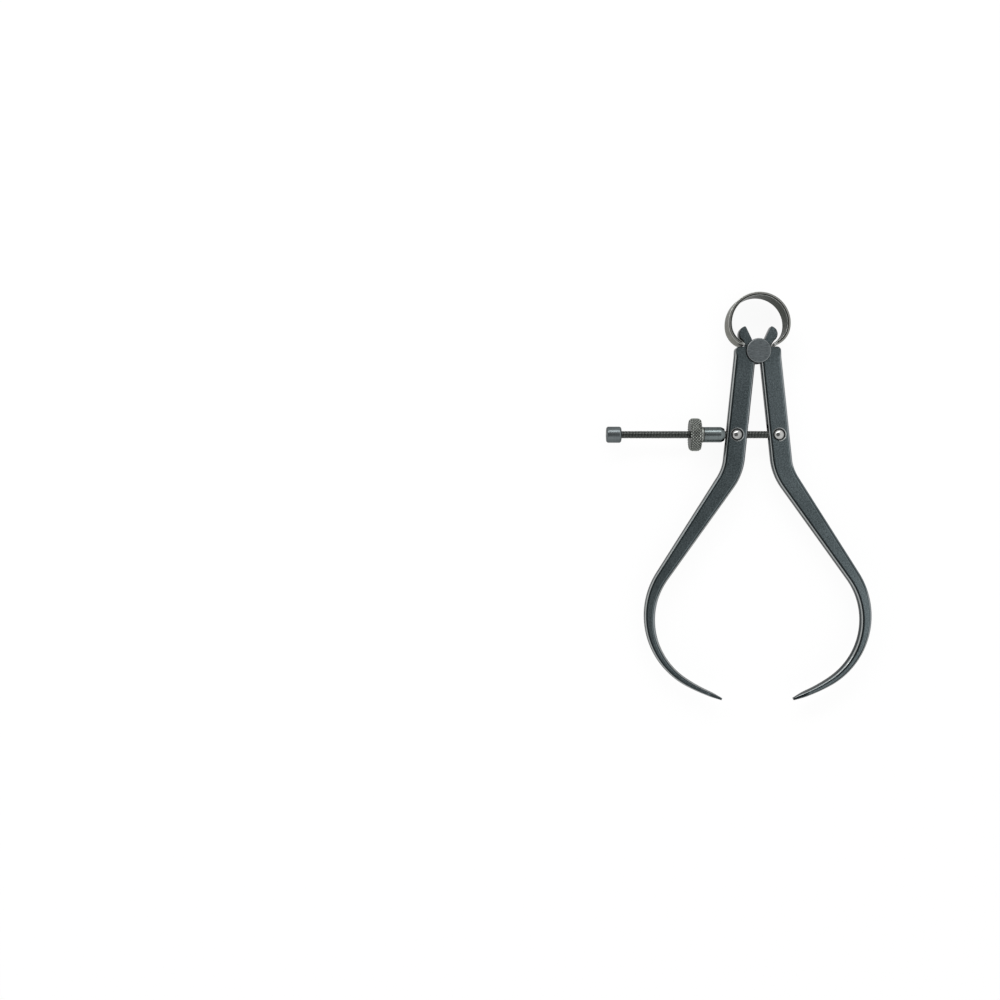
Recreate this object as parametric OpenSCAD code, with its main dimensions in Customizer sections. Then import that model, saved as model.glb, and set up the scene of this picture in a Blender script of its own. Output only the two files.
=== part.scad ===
// Outside spring caliper, lying flat on its back. Sizes are in millimetres.
// Origin: on the fulcrum axis, in the plane of the fulcrum roller's back face. The bow spring is toward +Y,
// the contact tips are toward -Y, and the face with the domed pins looks toward +Z.

/* [Legs] */
// Distance from the fulcrum axis to a contact tip
leg_reach = 150; // [135:1:170]
// Thickness of the leg bar
leg_thickness = 5.2; // [4.8:0.1:6]
// Width of the straight shank
shank_width = 9.05; // [8.6:0.05:9.5]
// Distance between the fulcrum axis and the middle line of the shank
shank_offset = 5.2; // [5.1:0.05:5.4]
// Lean of each shank away from the middle plane as the caliper lies
rest_lean = 6; // [5:0.25:8]
// Angle by which the knee turns the leg outward
knee_turn = 28; // [25:0.5:30]
// Bend radius of the knee
knee_radius = 22; // [18:0.5:28]
// Angle by which the bow turns the leg back inward
bow_turn = 92; // [89:0.5:95]
// Width of the leg just below the knee
knee_width = 8.45; // [7.8:0.05:8.6]
// Width of the leg where the bow begins
bow_width = 5.7; // [5:0.1:6.4]
// Width of the leg where the toe begins
toe_width = 2.9; // [2.6:0.1:3.4]
// Width of the contact tip
tip_width = 0.9; // [0.8:0.05:1.3]
// Rounding of the long edges
edge_round = 1.5; // [1:0.05:1.7]
// Rounding of the edges on the head
head_round = 0.4; // [0.2:0.05:0.5]

/* [Head] */
// Radius of the ear
ear_radius = 3.44; // [3.2:0.02:3.6]
// Lean of a shank at which the two ears meet
meet_lean = 31; // [31:0.25:33]
// Distance from the fulcrum axis to the corner of the spring notch, across the shank
notch_reach = 5.27; // [5.1:0.01:5.4]
// Distance from the fulcrum axis to the corner of the spring notch, along the shank
notch_height = 1.31; // [1.2:0.01:1.5]

/* [Fulcrum] */
// Diameter of the fulcrum discs
disc_diameter = 10.6; // [10:0.1:11]
// Thickness of a fulcrum disc
disc_thickness = 1.3; // [1:0.1:1.8]
// Diameter of the fulcrum core
core_diameter = 6; // [5.4:0.1:6.4]

/* [Bow spring] */
// Radius of the ring to the middle of the strip
ring_radius = 12.5; // [12.3:0.05:12.8]
// Width of the strip
strip_width = 11; // [10:0.1:12]
// Thickness of the strip
strip_thickness = 1.5; // [1.3:0.05:1.6]

/* [Screw line] */
// Diameter of the screw over its thread
screw_diameter = 3.175; // [3:0.025:3.25]
// Distance from the fulcrum axis to the pins, along the shank
pin_drop = 36.5; // [34:0.5:40]
// Distance from the right pin to the free end of the stop
screw_length = 73.8; // [68:0.2:80]
// Diameter of the end stop
stop_diameter = 6.9; // [6:0.1:8]
// Length of the end stop
stop_length = 6.4; // [5:0.1:8]
// Diameter of the adjusting nut
nut_diameter = 14.2; // [12:0.1:16]
// Width of the adjusting nut
nut_width = 4.6; // [4:0.1:5.5]
// Length of the hub on the nut
hub_length = 1.3; // [0.8:0.1:2]
// Diameter of the thrust sleeve
sleeve_diameter = 6.6; // [6.3:0.1:7]
// Length of the thrust sleeve
sleeve_length = 9.2; // [8:0.1:10]
// Diameter of a swivel pin inside its leg
pin_diameter = 5.1; // [4.9:0.05:5.3]
// Diameter of the polished dome on a pin
dome_diameter = 4.2; // [3.8:0.1:4.4]
// Height of the dome above the leg face
dome_rise = 0.75; // [0.5:0.05:1]

/* [Hidden] */
$fn = 96;

// Running clearance of turned pieces, seam between nut and sleeve, rest gap between sleeve and leg
run_gap = 0.06;
seam = 0.1;
nose_gap = 0.3;
// Height of the legs' middle plane above the back of the fulcrum roller
seat_gap = 0.1;
mid_z = leg_thickness / 2 + seat_gap + disc_thickness;
face_z = leg_thickness / 2;
// Rest position of the pins
pin_x = shank_offset * cos(rest_lean) + pin_drop * sin(rest_lean);
pin_y = shank_offset * sin(rest_lean) - pin_drop * cos(rest_lean);
// Rest positions along the screw
nose_radius = 8;
nose_x = nose_radius - nose_gap - pin_x - (shank_width / 2 + nose_radius) / cos(rest_lean);
sleeve_x = nose_x - sleeve_length;
nut_x = sleeve_x - seam - hub_length - nut_width;
stop_x = pin_x - screw_length;
screw_x = stop_x + 1.5;
screw_tail = 1.9;
screw_radius = screw_diameter / 2;

// Leg path, for a right leg whose shank runs straight down from the fulcrum
knee_drop = leg_reach * 52.4 / 150;
knee_tangent = knee_radius * tan(knee_turn / 2);
thigh_length = leg_reach * 54.03 / 150 - knee_tangent;
bow_radius = leg_reach * 32 / 150;
toe_turn = 8.5;
toe_arc = leg_reach * 9.65 / 150;
toe_straight = 8.1;
shank_start = -4;
shank_end = knee_tangent - knee_drop;
lap = 2.5;
tuck = 0.06;
crown_length = 6;
crown_height = 1;

// Path pieces below the shank: length, turn outward, width at the end, number of steps
pieces = [
    [knee_radius * knee_turn * PI / 180, knee_turn, knee_width, 6],
    [thigh_length, 0, bow_width, 2],
    [bow_radius * bow_turn * PI / 180, -bow_turn, toe_width, 20],
    [toe_arc, -toe_turn, toe_width - 0.8, 3],
    [toe_straight * 0.45, 0, toe_width - 1, 1],
    [toe_straight * 0.55, 0, tip_width, 1]
];
function width_before(i) = i == 0 ? shank_width : pieces[i - 1][2];
function part_width(i, k) = width_before(i) + (pieces[i][2] - width_before(i)) * k / pieces[i][3];
steps = [for (i = [0 : len(pieces) - 1]) for (k = [1 : pieces[i][3]])
    [pieces[i][0] / pieces[i][3], pieces[i][1] / pieces[i][3], part_width(i, k)]];
function chord(s) = s[1] == 0 ? s[0] : 360 * s[0] / (s[1] * PI) * sin(s[1] / 2);
function ahead(h) = [sin(h), -cos(h)];
function across(h) = [cos(h), sin(h)];
path = [for (i = 0, p = [shank_offset, shank_end], h = 0, w = shank_width; i <= len(steps);
             p = i < len(steps) ? p + chord(steps[i]) * ahead(h + steps[i][1] / 2) : p,
             h = i < len(steps) ? h + steps[i][1] : h,
             w = i < len(steps) ? steps[i][2] : w,
             i = i + 1) [p, h, w, i]];
last = len(path) - 1;
tip = path[last][0];
tip_heading = path[last][1];

// The ear is a disc cut off by a straight inner edge, and the notch lies between the ear and the shoulder
inner_x = shank_offset - shank_width / 2;
outer_x = shank_offset + shank_width / 2;
ear_gap = 0.42;
ear_set = 0.9;
ear_reach = 8.55;
ear_along = [sin(meet_lean), cos(meet_lean)];
ear_away = [cos(meet_lean), -sin(meet_lean)];
ear_center = ear_reach * ear_along + (ear_gap + ear_set) * ear_away;
ear_start = 90 - meet_lean + asin(ear_set / ear_radius);
ear_end = -62;
ear_top = ear_center + ear_radius * [cos(ear_start), sin(ear_start)];
seat_radius = core_diameter / 2 + run_gap;
seat_in = inner_x + tuck;
seat_from = -acos(seat_in / seat_radius);
seat_to = 90 - meet_lean - asin(ear_gap / seat_radius);
seat_arc = [for (k = [0 : 12]) let (a = seat_from + (seat_to - seat_from) * k / 12) seat_radius * [cos(a), sin(a)]];
seat_round = 0.12;
ear_edge = ear_top - 0.6 * ear_along;
ear_arc = [for (k = [0 : 8]) let (a = ear_start - 10 + (ear_end - ear_start + 10) * k / 8)
    ear_center + ear_radius * [cos(a), sin(a)]];
notch = [notch_reach, notch_height];
shoulder_slope = 6;
shoulder_round = 1.8;
shoulder_y = notch.y - (outer_x - shoulder_round - notch.x) * tan(shoulder_slope);
shoulder_center = [outer_x - shoulder_round, shoulder_y - shoulder_round / cos(shoulder_slope)];
shoulder_arc = [for (a = [84 : -21 : 0]) shoulder_center + shoulder_round * [cos(a), sin(a)]];
head_side = [[shank_start + 0.5, edge_round + tuck], [shank_start - lap, edge_round + tuck]];
head = concat([for (p = concat([ear_edge, (ear_edge + ear_arc[0]) / 4 + ear_top / 2], ear_arc, [notch],
        shoulder_arc)) [p, head_round]],
    [[[outer_x - tuck, -2], 1.2]], [for (q = head_side) [[outer_x - tuck, q[0]], q[1]]],
    [for (i = [1, 0]) [[seat_in, head_side[i][0]], head_side[i][1]]],
    [for (p = seat_arc) [p, seat_round]]);

// Lower leg outline from inside the shank to the tip, each point with the rounding of its edge
function path_round(s) = min(edge_round, 0.4 * s[2]);
limb = concat([[[shank_offset, shank_end + lap], 0, shank_width - 2 * tuck, 0],
               [[shank_offset, shank_end], 0, shank_width - 2 * tuck, 0]], [for (i = [1 : last]) path[i]]);
outer_side = [for (s = limb) [s[0] + across(s[1]) * s[2] / 2, path_round(s)]];
inner_side = [for (i = [len(limb) - 1 : -1 : 0]) let (s = limb[i]) [s[0] - across(s[1]) * s[2] / 2, path_round(s)]];
lower = concat(outer_side, inner_side);

// Outward direction of an outline point, long enough to keep both its edges parallel
function edge_away(o, i) = let (d = o[(i + 1) % len(o)][0] - o[i][0]) [-d.y, d.x] / norm(d);
function corner_away(a, b) = (a + b) / (1 + a * b);
function away(o, i) = corner_away(edge_away(o, (i + len(o) - 1) % len(o)), edge_away(o, i));

// Slab with rounded edges: rings of outline points from the front face to the back face
turns = [[90, 1], [45, 1], [0, 1], [0, -1], [45, -1], [90, -1]];
slab_z = face_z - tuck;
function slab_point(o, i, a, side) = let (r = o[i][1], p = o[i][0] - away(o, i) * r * (1 - cos(a)))
    [p.x, p.y, side * (slab_z - r * (1 - sin(a)))];
function slab_points(o) = [for (t = turns) for (i = [0 : len(o) - 1]) slab_point(o, i, t[0], t[1])];
function slab_sides(n) = [for (k = [0 : len(turns) - 2]) for (i = [0 : n - 1]) let (j = (i + 1) % n, u = k * n)
    each [[u + j, u + i, u + n + i], [u + j, u + n + i, u + n + j]]];
function flipped(f) = [for (i = [len(f) - 1 : -1 : 0]) f[i]];
function slab_faces(n, caps) = concat(caps, slab_sides(n),
    [for (f = caps) [for (i = flipped(f)) (len(turns) - 1) * n + i]]);
head_caps = [[for (i = [0 : len(head) - 1]) i]];
lower_caps = [for (i = [0 : len(limb) - 2]) let (n = len(lower)) each [[i, i + 1, n - 1 - i], [i + 1, n - 2 - i, n - 1 - i]]];

// Fan that the screw sweeps inside a leg, from the pin toward the middle plane
slot_half = screw_radius + 0.25;
slot_height = screw_diameter + 0.4;
slot_reach = shank_width;
slot_low = -1.5;
slot_high = meet_lean + 1.5;
function slot_along(b) = [-cos(b), sin(b)];
function slot_up(b) = [sin(b), cos(b)];
slot_fan = [-slot_half * slot_up(slot_low), slot_reach * slot_along(slot_low) - slot_half * slot_up(slot_low),
    slot_reach * slot_along(slot_high) + slot_half * slot_up(slot_high), slot_half * slot_up(slot_high)];

// Bow spring: a ring whose two ends are tucked in and thinned
tuck_start = 10;
tuck_radius = 0.7 * ring_radius;
tuck_end = 60;
tail_length = 2;
tail_thickness = 0.7;
tuck_center = (ring_radius - tuck_radius) * [cos(tuck_start), -sin(tuck_start)];
tail_x = tuck_center.x + tuck_radius * cos(tuck_end) - tail_length * sin(tuck_end);
tail_y = tuck_center.y - tuck_radius * sin(tuck_end) - tail_length * cos(tuck_end);
tail_low = tail_y - tail_thickness / 2 * sin(tuck_end);
seat_x = notch.x * cos(rest_lean) - notch.y * sin(rest_lean);
seat_y = notch.x * sin(rest_lean) + notch.y * cos(rest_lean);
seat_rise = max(0, (tail_x - seat_x) * tan(rest_lean - shoulder_slope));
seat_clear = 0.2;
ring_y = seat_y + seat_rise + seat_clear - tail_low;

module at_mid() {
    translate([0, 0, mid_z]) children();
}

module along_screw(x) {
    at_mid() translate([x, pin_y, 0]) rotate([0, 90, 0]) children();
}

// Straight bar with rounded edges between the head and the knee
module shank() {
    w = shank_width / 2;
    r = edge_round;
    m = edge_round * (1 - sin(45));
    corner = [[w, face_z - r], [w - m, face_z - m], [w - r, face_z]];
    section = concat(corner, [for (i = [2 : -1 : 0]) [-corner[i].x, corner[i].y]], [for (p = corner) -p],
        [for (i = [2 : -1 : 0]) [corner[i].x, -corner[i].y]]);
    translate([shank_offset, shank_start, 0]) rotate([90, 0, 0])
        linear_extrude(height = shank_start - shank_end - lap / 5) polygon(section);
}

module leg_body() {
    polyhedron(slab_points(head), slab_faces(len(head), head_caps));
    difference() {
        polyhedron(slab_points(lower), slab_faces(len(lower), lower_caps));
        for (side = [0, 1]) mirror([0, 0, side]) crown_cut();
    }
    difference() {
        shank();
        translate([shank_offset, -pin_drop, 0]) pin_bore();
        children();
    }
}

module pin_bore() {
    b = pin_diameter / 2 + run_gap;
    step = face_z - 0.35;
    out = face_z + 1;
    rotate_extrude()
        polygon([[0, -out], [b + out - step, -out], [b, -step], [b, step], [b + out - step, out], [0, out]]);
}

// Slope that thins a contact tip toward its end
module crown_cut() {
    slope = (face_z - crown_height) / crown_length;
    translate([tip.x, tip.y, 0]) rotate([0, 0, tip_heading]) rotate([90, 0, 90])
        linear_extrude(height = 4 * toe_width, center = true)
            polygon([[crown_length, face_z], [-2, crown_height - 2 * slope], [-2, 2 * face_z],
                [crown_length, 2 * face_z]]);
}

module slot_side() {
    linear_extrude(height = slot_height, center = true) polygon(slot_fan);
}

module right_leg() {
    color([0.27, 0.3, 0.31]) at_mid() rotate([0, 0, rest_lean])
        leg_body() translate([shank_offset, -pin_drop, 0]) slot_side();
}

module left_leg() {
    color([0.27, 0.3, 0.31]) at_mid() mirror([1, 0, 0]) rotate([0, 0, rest_lean])
        leg_body() translate([shank_offset, -pin_drop, 0]) {
            slot_side();
            rotate([0, 0, 180]) slot_side();
        }
}

module fulcrum_roller() {
    r = disc_diameter / 2;
    c = core_diameter / 2;
    top = 2 * mid_z;
    bevel = 0.25;
    color([0.42, 0.43, 0.44])
        rotate_extrude()
            polygon([[0, 0], [r - bevel, 0], [r, bevel], [r, disc_thickness], [c, disc_thickness],
                [c, top - disc_thickness], [r, top - disc_thickness], [r, top - bevel], [r - bevel, top], [0, top]]);
}

module strip_arc(center, radius, from, to, inset) {
    w = strip_width / 2 - inset;
    t = strip_thickness / 2 - inset;
    b = 0.2;
    translate([center.x, center.y, 0]) rotate([0, 0, from]) rotate_extrude(angle = to - from)
        translate([radius, 0])
            polygon([[-t, -w + b], [b - t, -w], [t - b, -w], [t, -w + b], [t, w - b], [t - b, w], [b - t, w], [-t, w - b]]);
}

module spring_tail() {
    t = strip_thickness / 2 - 2 * tuck;
    e = tail_thickness / 2;
    translate([tuck_center.x, ring_y + tuck_center.y, 0]) rotate([0, 0, -tuck_end]) translate([tuck_radius, 0, 0])
        linear_extrude(height = strip_width - 0.5, center = true)
            polygon([[-t, 0.7], [-e, -tail_length], [e, -tail_length], [t, 0.7]]);
}

module bow_spring() {
    color([0.5, 0.5, 0.48]) at_mid() {
        strip_arc([0, ring_y], ring_radius, -tuck_start, 180 + tuck_start, 0);
        for (side = [0, 1]) mirror([side, 0, 0]) {
            strip_arc([tuck_center.x, ring_y + tuck_center.y], tuck_radius, -tuck_end, 3 - tuck_start, tuck);
            spring_tail();
        }
    }
}

module adjusting_screw() {
    color([0.3, 0.3, 0.3]) along_screw(screw_x) cylinder(r = screw_radius, h = pin_x + screw_tail - screw_x);
}

module screw_end_stop() {
    r = stop_diameter / 2;
    l = stop_length;
    depth = screw_x - stop_x;
    s = screw_radius;
    color([0.36, 0.37, 0.38]) along_screw(stop_x)
        rotate_extrude()
            polygon([[0, 0], [r - 0.9, 0], [r - 0.25, 0.25], [r, 0.9], [r, l - 0.8], [r - 0.25, l - 0.2], [r - 0.8, l],
                [s, l], [s, depth], [0, depth]]);
}

module adjusting_nut() {
    r = nut_diameter / 2;
    w = nut_width;
    h = sleeve_diameter / 2 + 0.1;
    b = screw_radius + run_gap;
    color([0.45, 0.45, 0.43]) along_screw(nut_x)
        rotate_extrude()
            polygon([[b, 0], [r - 0.8, 0], [r - 0.25, 0.25], [r, 0.8], [r, w - 0.8], [r - 0.25, w - 0.25], [r - 0.8, w],
                [h, w], [h, w + hub_length], [b, w + hub_length]]);
}

module thrust_sleeve() {
    r = sleeve_diameter / 2;
    l = sleeve_length;
    b = screw_radius + run_gap;
    n = nose_radius;
    nose = [for (q = [r - 0.65 : -0.2 : b + 0.05]) [q, l - n + sqrt(n * n - q * q)]];
    color([0.6, 0.62, 0.63]) along_screw(sleeve_x)
        rotate_extrude()
            polygon(concat([[b, 0], [r - 0.2, 0], [r, 0.2], [r, l - 2], [r - 0.25, l - 1.2]], nose,
                [[b, l - n + sqrt(n * n - b * b)]]));
}

module trunnion(bore) {
    body = face_z - 0.75;
    base = face_z - 0.2;
    e = dome_diameter / 2;
    rise = dome_rise + 0.2;
    ball = (e * e + rise * rise) / (2 * rise);
    difference() {
        union() {
            cylinder(d = pin_diameter, h = 2 * body, center = true);
            cylinder(r = e, h = 2 * base, center = true);
            for (side = [0, 1]) mirror([0, 0, side]) intersection() {
                translate([0, 0, face_z + dome_rise - ball]) sphere(r = ball);
                cylinder(r = e, h = face_z + 2 * dome_rise);
            }
        }
        rotate([0, 90, 0]) cylinder(r = bore, h = 2 * pin_diameter, center = true);
    }
}

module left_trunnion() {
    color([0.75, 0.76, 0.77]) at_mid() translate([-pin_x, pin_y, 0]) trunnion(screw_radius + run_gap);
}

module right_trunnion() {
    color([0.75, 0.76, 0.77]) at_mid() translate([pin_x, pin_y, 0]) trunnion(screw_radius);
}

left_leg();
right_leg();
fulcrum_roller();
bow_spring();
adjusting_screw();
screw_end_stop();
adjusting_nut();
thrust_sleeve();
left_trunnion();
right_trunnion();
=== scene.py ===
import bpy, bmesh, math
from functools import partial
from mathutils import Matrix, Vector


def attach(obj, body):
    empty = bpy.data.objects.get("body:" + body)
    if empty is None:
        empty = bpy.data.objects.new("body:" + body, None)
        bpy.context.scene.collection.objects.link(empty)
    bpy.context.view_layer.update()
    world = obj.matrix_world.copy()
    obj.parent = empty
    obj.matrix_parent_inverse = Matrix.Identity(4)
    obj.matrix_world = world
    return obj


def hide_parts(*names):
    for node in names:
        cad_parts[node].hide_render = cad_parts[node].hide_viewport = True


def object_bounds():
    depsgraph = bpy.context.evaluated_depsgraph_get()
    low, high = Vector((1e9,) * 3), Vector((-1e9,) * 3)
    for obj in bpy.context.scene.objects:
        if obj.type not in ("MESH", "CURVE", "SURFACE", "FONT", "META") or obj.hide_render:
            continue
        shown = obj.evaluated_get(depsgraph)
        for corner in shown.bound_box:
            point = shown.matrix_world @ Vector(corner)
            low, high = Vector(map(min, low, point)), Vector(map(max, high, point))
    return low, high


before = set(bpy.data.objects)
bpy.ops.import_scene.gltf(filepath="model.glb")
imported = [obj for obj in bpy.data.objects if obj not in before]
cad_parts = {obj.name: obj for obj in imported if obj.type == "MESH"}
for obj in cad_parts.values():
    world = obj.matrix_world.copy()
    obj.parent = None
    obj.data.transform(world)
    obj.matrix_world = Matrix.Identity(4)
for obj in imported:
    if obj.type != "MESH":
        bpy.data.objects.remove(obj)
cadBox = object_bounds()
mm = 0.001
scene = bpy.context.scene
scene.view_settings.view_transform = "Standard"

# places shared by several pieces, in millimetres
layout = {
    "midZ": 4.0,            # middle plane of the legs
    "halfLeg": 2.6,         # half the thickness of a leg
    "lean": 6.0,            # lean of each shank at rest
    "pinX": 8.9868, "pinY": -35.7565,
    "screwRadius": 1.5875,
    "runGap": 0.06,
}


# mesh helpers

def makePiece(name, verts, faces):
    mesh = bpy.data.meshes.new(name)
    mesh.from_pydata([(x * mm, y * mm, z * mm) for x, y, z in verts], [], faces)
    piece = bpy.data.objects.new(name, mesh)
    scene.collection.objects.link(piece)
    return piece


cleaning = {"merge": 0.0005, "sliver": 0.0002}


def cleanMesh(piece, merge=True, slivers=False):
    # normals outward, and points or slivers closer than these distances removed
    work = bmesh.new()
    work.from_mesh(piece.data)
    if merge:
        bmesh.ops.remove_doubles(work, verts=work.verts, dist=cleaning["merge"] * mm)
    if slivers:
        bmesh.ops.dissolve_degenerate(work, edges=work.edges, dist=cleaning["sliver"] * mm)
    bmesh.ops.recalc_face_normals(work, faces=work.faces)
    work.to_mesh(piece.data)
    work.free()


def shadeByAngle(piece, degrees):
    for polygon in piece.data.polygons:
        polygon.use_smooth = True
    piece.data.set_sharp_from_angle(angle=math.radians(degrees))


def bakeModifiers(piece):
    graph = bpy.context.evaluated_depsgraph_get()
    mesh = bpy.data.meshes.new_from_object(piece.evaluated_get(graph))
    old = piece.data
    piece.modifiers.clear()
    piece.data = mesh
    bpy.data.meshes.remove(old)


def levelNormals(piece):
    # keeps flat faces flat beside rounded edges
    weighted = piece.modifiers.new("levelNormals", "WEIGHTED_NORMAL")
    weighted.keep_sharp = True
    weighted.weight = 80
    bakeModifiers(piece)


def cutWith(piece, cutters):
    for cutter in cutters:
        cut = piece.modifiers.new("cut", "BOOLEAN")
        cut.operation = "DIFFERENCE"
        cut.solver = "EXACT"
        cut.object = cutter
    bakeModifiers(piece)
    for cutter in cutters:
        bpy.data.objects.remove(cutter)


def turnProfile(name, profile, place, segments=128):
    # closed profile of (along, radius) pairs turned about the axis that place gives
    verts, faces = [], []
    count = len(profile)
    for k in range(segments):
        angle = 2 * math.pi * k / segments
        for along, radius in profile:
            verts.append(place(along, radius * math.cos(angle), radius * math.sin(angle)))
    for k in range(segments):
        n = (k + 1) % segments
        for i in range(count):
            j = (i + 1) % count
            if profile[i][1] < 1e-6 and profile[j][1] < 1e-6:
                continue
            faces.append((k * count + i, k * count + j, n * count + j, n * count + i))
    piece = makePiece(name, verts, faces)
    cleanMesh(piece, slivers=True)
    return piece


def polar(angle, radius=1.0):
    return Vector((radius * math.cos(math.radians(angle)), radius * math.sin(math.radians(angle))))


def arc(centre, radius, start, end, steps):
    return [centre + polar(start + (end - start) * k / steps, radius) for k in range(steps + 1)]


def alongScrew(startX):
    return lambda along, a, b: (startX + along, layout["pinY"] + a, layout["midZ"] + b)


def upright(x, y, z):
    return lambda along, a, b: (x + a, y + b, z + along)


def roundCorner(profile, index, radius, steps=5):
    # replaces one profile corner with a small arc
    p = Vector(profile[index])
    a = (Vector(profile[index - 1]) - p).normalized()
    b = (Vector(profile[(index + 1) % len(profile)]) - p).normalized()
    half = math.acos(max(-1, min(1, a.dot(b)))) / 2
    reach = radius / math.tan(half)
    centre = p + (a + b).normalized() * (radius / math.sin(half))
    start, end = p + a * reach - centre, p + b * reach - centre
    bend = []
    for k in range(steps + 1):
        t = k / steps
        w = start * (1 - t) + end * t
        bend.append(tuple(centre + w.normalized() * radius))
    return profile[:index] + bend + profile[index + 1:]


def roundCorners(profile, radii):
    for index in sorted(radii, reverse=True):
        profile = roundCorner(profile, index, radii[index])
    return profile


def storeValues(piece, name, values, domain="POINT"):
    layer = piece.data.attributes.new(name, "FLOAT", domain)
    layer.data.foreach_set("value", values)


def ramp(value, low, high):
    return max(0.0, min(1.0, (value - low) / (high - low)))


edgeRule = {
    "flatLift": 0.9999,      # faces lying flatter than this count as broad
    "leastLean": 0.02,       # corners leaning less than this face nowhere
    "flareTilt": 0.41, "flareLift": 0.5,
    "level": (0.2, 0.45),    # edges turning up or down past this no longer face right
    "upRightShade": (0.2, 0.4),
}


def storeEdges(piece, centre=None, radius=0.0, side=0):
    # per face corner: tilt away from the broad face (0 on it, 1 on the side), how far the edge faces right, used for
    # painted light, and where painted shade takes the rubbed band off the outer side of the right leg
    mesh, rule, values, rightLit, upRightShade = piece.data, edgeRule, [], [], []
    tilts = [math.degrees(math.acos(min(1.0, abs(vertex.normal.z)))) / 90 for vertex in mesh.vertices]
    for polygon in mesh.polygons:
        lift = abs(polygon.normal.z)
        inBore = centre is not None and (polygon.center.xy - centre).length < radius
        for index in polygon.vertices:
            across = mesh.vertices[index].normal.xy
            leans = across.length > rule["leastLean"] and lift < rule["flatLift"]
            edge = across.normalized() if leans else Vector((0, 0))
            rightLit.append(max(0.0, edge.x) * (1 - ramp(abs(edge.y), *rule["level"])))
            # painted shade: on the right leg, edges facing up and right lose their pale band
            upRightShade.append(ramp(edge.y, *rule["upRightShade"]) if side > 0 and edge.x > 0 else 0.0)
            if lift > rule["flatLift"]:
                values.append(0.0)
            # the bore's flare takes a middle tilt: part rubbed band, part painted crease shade
            elif inBore:
                values.append(rule["flareTilt"] if lift > rule["flareLift"] else 1.0)
            else:
                values.append(tilts[index])
    for name, numbers in (("tilt", values), ("rightLit", rightLit), ("upRightShade", upRightShade)):
        storeValues(piece, name, numbers, "CORNER")


# node helpers, for shaders and Geometry Nodes

def newGroup(name, kind, inputs, outputs):
    group = bpy.data.node_groups.new(name, kind)
    for way, sockets in (("INPUT", inputs), ("OUTPUT", outputs)):
        for label, value in sockets.items():
            group.interface.new_socket(label, in_out=way, socket_type="NodeSocket" + value)
    return group, group.nodes.new("NodeGroupInput").outputs, group.nodes.new("NodeGroupOutput").inputs


def addNode(tree, kind, inputs=None, **settings):
    # inputs by name or number: another node's output is linked, anything else is set
    node = tree.nodes.new(kind)
    for key, value in settings.items():
        setattr(node, key, value)
    for key, value in (inputs or {}).items():
        if hasattr(value, "is_linked"):
            tree.links.new(value, node.inputs[key])
        else:
            node.inputs[key].default_value = value
    return node


def mathNode(tree, operation, *values, clamp=False):
    return addNode(tree, "ShaderNodeMath", dict(enumerate(values)), operation=operation, use_clamp=clamp).outputs[0]


def noiseNode(tree, vector, scale, detail, rough):
    inputs = {"Vector": vector, "Scale": scale, "Detail": detail, "Roughness": rough}
    return addNode(tree, "ShaderNodeTexNoise", inputs).outputs[0]


def rangeNode(tree, value, low, high, outLow=0.0, outHigh=1.0):
    inputs = dict(enumerate((value, low, high, outLow, outHigh)))
    return addNode(tree, "ShaderNodeMapRange", inputs, interpolation_type="SMOOTHSTEP").outputs[0]


def splitXyz(tree, vector):
    return addNode(tree, "ShaderNodeSeparateXYZ", {0: vector}).outputs


def joinXyz(tree, x, y, z):
    return addNode(tree, "ShaderNodeCombineXYZ", {0: x, 1: y, 2: z}).outputs[0]


# shader groups shared by the finishes

def makeGrainGroup():
    # fine matte speckle and slow cloudy change
    group, source, sink = newGroup(
        "fineGrain", "ShaderNodeTree", {"Vector": "Vector", "Grain Scale": "Float", "Cloud Scale": "Float"},
        {"Grain": "Float", "Cloud": "Float"})
    grain = noiseNode(group, source["Vector"], source["Grain Scale"], detail=4.0, rough=0.7)
    cloud = noiseNode(group, source["Vector"], source["Cloud Scale"], detail=4.0, rough=0.55)
    group.links.new(rangeNode(group, grain, 0.2, 0.8), sink["Grain"])
    group.links.new(rangeNode(group, cloud, 0.3, 0.7), sink["Cloud"])
    return group


def makeWearGroup():
    # metal rubbed bright on edges: the piece's edge attribute broken up by noise
    group, source, sink = newGroup(
        "edgeWear", "ShaderNodeTree", {"Vector": "Vector", "Edge": "Float", "Break Scale": "Float", "Break": "Float"},
        {"Wear": "Float"})
    broken = noiseNode(group, source["Vector"], source["Break Scale"], detail=4.0, rough=0.6)
    centred = mathNode(group, "SUBTRACT", broken, 0.5)
    shift = mathNode(group, "MULTIPLY", centred, source["Break"])
    total = mathNode(group, "ADD", source["Edge"], shift)
    wear = rangeNode(group, total, 0.25, 0.85)
    onEdge = mathNode(group, "GREATER_THAN", source["Edge"], 0.001)
    group.links.new(mathNode(group, "MULTIPLY", wear, onEdge), sink["Wear"])
    return group


def makeLinesGroup():
    # long thin tool lines: noise squeezed along one direction
    group, source, sink = newGroup(
        "toolLines", "ShaderNodeTree", {"Vector": "Vector", "Squeeze": "Vector"}, {"Lines": "Float", "Deep": "Float"})
    inputs = {0: source["Vector"], 1: source["Squeeze"]}
    squeezed = addNode(group, "ShaderNodeVectorMath", inputs, operation="MULTIPLY").outputs[0]
    lines = noiseNode(group, squeezed, 1.0, detail=3.0, rough=0.6)
    deep = noiseNode(group, squeezed, 0.35, detail=1.0, rough=0.5)
    group.links.new(rangeNode(group, lines, 0.3, 0.7), sink["Lines"])
    group.links.new(rangeNode(group, deep, 0.62, 0.7), sink["Deep"])
    return group


grainGroup, wearGroup, linesGroup = makeGrainGroup(), makeWearGroup(), makeLinesGroup()
print("shader groups ready")


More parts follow.
